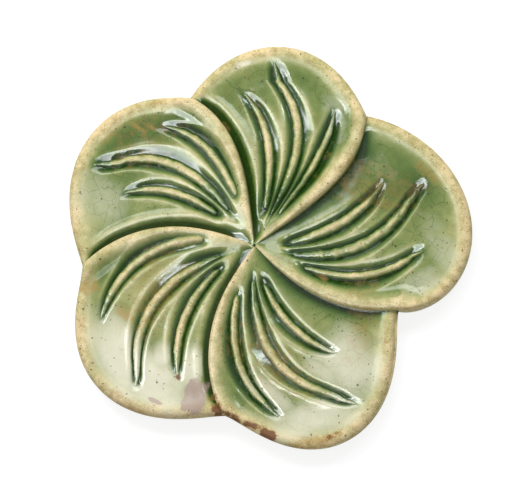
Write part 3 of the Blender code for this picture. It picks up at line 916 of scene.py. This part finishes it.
def make_petal(index):
    share, radius, bearing = petal_sheet(index)
    top, _ = clay_height(index, np.minimum(share, 1.0), radius)
    from_rim = rim_radius(index, share) - radius
    bottom = PETAL_BASE + UNDER_EDGE * (1.0 - quarter_round(from_rim / UNDER_ROUND))
    x, y = radius * np.cos(bearing), radius * np.sin(bearing)
    points = np.concatenate([np.stack([x, y, z], -1).reshape(-1, 3) for z in (top, bottom)])
    faces, above, below = petal_faces(*share.shape)
    piece = new_piece(f"petal_{index + 1}_glazed", points, faces.tolist(), (green_glaze, bare_clay))
    finish = np.zeros(len(faces), dtype=np.int32)
    middle = np.hypot(x, y)[:-1, :-1].reshape(-1)
    finish[above:above + below] = middle < WIPED_RADIUS
    piece.data.polygons.foreach_set("material_index", finish)
    dress(piece)
    return piece


petals = [make_petal(index) for index in range(len(PETALS))]
for index, piece in enumerate(petals):
    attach(piece, "root")
    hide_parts(f"petal_{index + 1}")
    print(piece.name, "faces:", len(piece.data.polygons))

# %% [markdown]
# ## The veins
#
# A vein is a thin, knobbly roll of clay that lies along the bottom of its channel and dies away at both
# ends. It follows a path, so it is made with Geometry Nodes: the path becomes a curve, the curve carries a
# bell-shaped section whose size follows the vein's height, and two layers of noise make the knobs and the
# grit. The same tree makes all fifteen, each from its own path, and every size is a named input.

# %% The tree that makes a vein
def vein_tree():
    tree = bpy.data.node_groups.new("knobbly_vein", "GeometryNodeTree")
    face = tree.interface
    face.new_socket("Path", in_out="INPUT", socket_type="NodeSocketGeometry")
    for name, value in (("Breadth", 0.45), ("Root", 0.5), ("Knob Height", 0.0003), ("Knob Size", 0.0025),
                        ("Grit Height", 0.00014), ("Grit Size", 0.0006), ("Seed", 0.0)):
        face.new_socket(name, in_out="INPUT", socket_type="NodeSocketFloat").default_value = value
    face.new_socket("Glaze", in_out="INPUT", socket_type="NodeSocketMaterial")
    face.new_socket("Vein", in_out="OUTPUT", socket_type="NodeSocketGeometry")
    given = tree.nodes.new("NodeGroupInput")
    result = tree.nodes.new("NodeGroupOutput")

    def asked(name):
        return Wave(tree, given.outputs[name])

    def part(kind, settings=(), output=0, **inputs):
        return node(tree, "GeometryNode" + kind, output, settings, **inputs)

    position = part("InputPosition")
    circle = part("CurvePrimitiveCircle", Resolution=26, Radius=1.0)
    across_section = node(tree, "ShaderNodeSeparateXYZ", "X", Vector=position)
    up_section = Wave(tree, across_section.socket.node.outputs["Y"])
    wide = across_section * 1.75
    hump = (wide.maths("ABSOLUTE") ** 3.0 * -1.0).maths("EXPONENT") * up_section.maths("LESS_THAN", 0.0001)
    root = asked("Root") * up_section.maths("GREATER_THAN", 0.0001)
    shaped = node(tree, "ShaderNodeCombineXYZ", "Vector", X=wide * asked("Breadth"), Y=root - hump)
    section = part("SetPosition", Geometry=circle, Position=shaped)

    stout = part("InputNamedAttribute", {"data_type": "FLOAT"}, "Attribute", Name="stout")
    curve = part("MeshToCurve", Mesh=asked("Path"))
    curve = part("SetCurveNormal", {"mode": "Z_UP"}, Curve=curve)
    roll = part("CurveToMesh", Curve=curve, Profile_Curve=section, Scale=stout, Fill_Caps=True)

    def lumps(size, detail, seed):
        made = node(tree, "ShaderNodeTexNoise", "Fac", {"noise_dimensions": "4D"}, Vector=position, W=seed,
                    Scale=1.0 / asked(size), Detail=detail)
        return made - 0.5

    knobs = lumps("Knob Size", 1.0, asked("Seed")) * asked("Knob Height")
    grit = lumps("Grit Size", 2.0, asked("Seed") + 7.0) * asked("Grit Height")
    outward = part("InputNormal")
    shift = node(tree, "ShaderNodeVectorMath", "Vector", {"operation": "SCALE"}, Scale=(knobs + grit) * 2.0)
    tree.links.new(outward.socket, shift.socket.node.inputs[0])
    roll = part("SetPosition", Geometry=roll, Offset=shift)
    roll = part("SetShadeSmooth", Geometry=roll)
    roll = part("RealizeInstances", Geometry=roll)
    roll = part("SetMaterial", Geometry=roll, Material=asked("Glaze"))
    tree.links.new(roll.socket, result.inputs["Vein"])
    return tree


tree = vein_tree()
sockets = {item.name: item.identifier for item in tree.interface.items_tree if item.in_out == "INPUT"}
print("vein tree:", len(tree.nodes), "nodes, inputs:", list(sockets))

# %% [markdown]
# Each path runs along the bottom of its channel. Its points carry how stout the vein is there, so that one
# tree can make every vein. The result is turned into a plain mesh and the modifier goes away with its path.

# %% The fifteen veins
VEIN_STEP = 0.25  # spacing of the points along a vein, millimetres
SIDE_NAMES = ("right", "middle", "left")
KNOB_HEIGHT = 0.28
ROUGH_KNOBS = {(1, 1): 0.45, (4, 1): 0.35}  # by petal and vein, both counted from 0
LEAST_STOUT = 0.95  # a vein's size where its channel is shallow, millimetres


def vein_path(index, vein):
    """Points along a channel's bottom in millimetres, and how stout the vein is at each."""
    count = int((vein.end - vein.start) * 1.15 / VEIN_STEP)
    radius = np.linspace(vein.start, vein.end, count)
    share = vein_share(vein, radius)
    own, span = sides(index, radius)
    bearing = np.radians(own + span * share - STEP_ROUND * index)
    floor_height, cut = clay_height(index, share, radius)
    crest = floor_height + (cut + VEIN_RISE) * vein_height(vein, radius)
    tapered = 1.0 - np.abs(2.0 * along_vein(vein, radius) - 1.0) ** 7
    stout = np.maximum(crest - floor_height, LEAST_STOUT * tapered + 0.06)
    points = np.stack([radius * np.cos(bearing), radius * np.sin(bearing), crest - stout], -1)
    return points, stout


def make_vein(index, which):
    vein = PETALS[index].veins[which]
    points, stout = vein_path(index, vein)
    name = f"petal_{index + 1}_{SIDE_NAMES[which]}_vein"
    path = bpy.data.meshes.new(name + "_path")
    path.from_pydata((points * MM).tolist(), [(i, i + 1) for i in range(len(points) - 1)], [])
    carry(path, "stout", stout * MM)
    guide = in_scene(name + "_path", path)
    roller = guide.modifiers.new("vein", "NODES")
    roller.node_group = tree
    roller[sockets["Breadth"]] = VEIN_HALF / (CHANNEL_DEPTH + VEIN_RISE) * vein.breadth
    roller[sockets["Knob Height"]] = ROUGH_KNOBS.get((index, which), KNOB_HEIGHT) * MM
    roller[sockets["Seed"]] = float(index * 3 + which)
    roller[sockets["Glaze"]] = green_glaze
    bpy.context.view_layer.update()
    shape = bpy.data.meshes.new_from_object(guide.evaluated_get(bpy.context.evaluated_depsgraph_get()))
    guide.modifiers.remove(roller)
    bpy.data.objects.remove(guide)
    piece = in_scene(name + "_glazed", shape)
    dress(piece, VEIN_DRAIN)
    return piece


for index in range(len(PETALS)):
    for which in range(3):
        piece = make_vein(index, which)
        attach(piece, "root")
        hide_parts(f"petal_{index + 1}_{SIDE_NAMES[which]}_vein")
        heights = [round(pick(v.co.z / MM for v in piece.data.vertices), 2) for pick in (min, max)]
        print(piece.name, "faces:", len(piece.data.polygons), "lowest and highest, mm:", heights)

# %% [markdown]
# ## The foot
#
# The foot is a round slab of bare clay, luted under the middle of the flower so that the petals' rims stand
# clear of the table. It was cut as a disc and its edges were softened with a wet finger. A disc is a turned
# shape, so its outline is swept round the upright axis, with a very slight waver that a hand leaves.

# %% The foot
FOOT_RADIUS, FOOT_TOP, FOOT_EDGE = 36.0, 3.0, 0.85
FOOT_SIDES, FLAT_ROWS = 192, 12
FOOT_WAVER = 0.12


def foot_outline():
    """Radius and height of the foot's outline, from under its middle round the edge to the top's middle."""
    turns = np.radians(np.linspace(-90.0, 90.0, 17))
    low, high = turns[turns <= 0.0], turns[turns >= 0.0]
    inner = FOOT_RADIUS - FOOT_EDGE
    flat_radii = np.linspace(2.0, inner - 1.0, FLAT_ROWS)
    radii = [flat_radii, inner + FOOT_EDGE * np.cos(low),
             inner + FOOT_EDGE * np.cos(high), flat_radii[::-1]]
    heights = [np.zeros(FLAT_ROWS), FOOT_EDGE * (1.0 + np.sin(low)),
               FOOT_TOP - FOOT_EDGE * (1.0 - np.sin(high)), np.full(FLAT_ROWS, FOOT_TOP)]
    return np.concatenate(radii), np.concatenate(heights)


radii, heights = foot_outline()
angles = np.linspace(0.0, 2.0 * np.pi, FOOT_SIDES, endpoint=False)
waver = 1.0 - FOOT_WAVER / FOOT_RADIUS * (1.0 + np.sin(3.0 * angles + 0.6)) / 2.0
rings = radii[:, None] * waver
ring_heights = np.repeat(heights[:, None], FOOT_SIDES, 1)
ring_points = np.stack([rings * np.cos(angles), rings * np.sin(angles), ring_heights], -1)
points = np.concatenate([ring_points.reshape(-1, 3), [(0.0, 0.0, 0.0), (0.0, 0.0, FOOT_TOP)]])
place = np.arange(len(radii) * FOOT_SIDES).reshape(len(radii), FOOT_SIDES)
following = np.roll(place, -1, axis=1)
walls = np.stack([place[:-1], following[:-1], following[1:], place[1:]], -1).reshape(-1, 4).tolist()
under_middle, top_middle = len(points) - 2, len(points) - 1
caps = [(under_middle, b, a) for a, b in zip(place[0].tolist(), following[0].tolist())]
caps += [(top_middle, a, b) for a, b in zip(place[-1].tolist(), following[-1].tolist())]
foot = new_piece("foot_disc_softened", points, walls + caps, (bare_clay,))
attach(foot, "root")
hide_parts("foot_disc")
print(foot.name, "faces:", len(foot.data.polygons))

# %% [markdown]
# ## The slip joints
#
# Slip is clay let down with water until it pours. A thin bed of it joins each lap to the tongue below.
# Nothing of it shows from outside, so the measured beds stay as they are. They only get a procedural clay,
# a little darker and smoother than the foot because slip has no grog in it.

# %% Slip for the five joints
SLIP_TONE = (0.40, 0.285, 0.18)
slip_clay = clay_material("fired_slip", SLIP_TONE)
for label in range(1, len(PETALS) + 1):
    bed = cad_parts[f"slip_joint_{label}"]
    bed.data.materials.clear()
    bed.data.materials.append(slip_clay)
print("slip joints dressed:", len(PETALS))

# %% [markdown]
# ## Floor
#
# The palette lies on a wide, pale, matt floor. The floor shines faintly by itself so that it stays an even
# white right up to the palette, as on a lit table, but it doesn't light the palette's edges from below.

# %% The floor
FLOOR_HALF, FLOOR_DROP = 3.0, 0.0002
around = ((-1.0, -1.0), (1.0, -1.0), (1.0, 1.0), (-1.0, 1.0))
floor_mesh = bpy.data.meshes.new("floor")
corners = [(x * FLOOR_HALF, y * FLOOR_HALF, -FLOOR_DROP) for x, y in around]
floor_mesh.from_pydata(corners, [], [(0, 1, 2, 3)])
floor = in_scene("floor", floor_mesh)
floor_paint, _, floor_shader = new_material("pale_floor")
for name, value in (("Base Color", (0.30, 0.30, 0.30, 1.0)), ("Roughness", 1.0),
                    ("Specular IOR Level", 0.0), ("Emission Color", (1.0, 1.0, 1.0, 1.0)),
                    ("Emission Strength", 0.80)):
    floor_shader.inputs[name].default_value = value
floor_mesh.materials.append(floor_paint)
floor.visible_diffuse = False
floor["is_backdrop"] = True
print("floor:", 2.0 * FLOOR_HALF, "m wide")

# %% [markdown]
# ## Size
#
# Last, the box round the measured frame and the box round the finished palette are printed side by side, so
# that they can be compared.

# %% Print the sizes
sizes = {"cad": [list(corner) for corner in cad_box], "visual": [list(corner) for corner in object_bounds()]}
for name, box in sizes.items():
    print(name, "box, mm:", [[round(v / MM, 2) for v in corner] for corner in box])
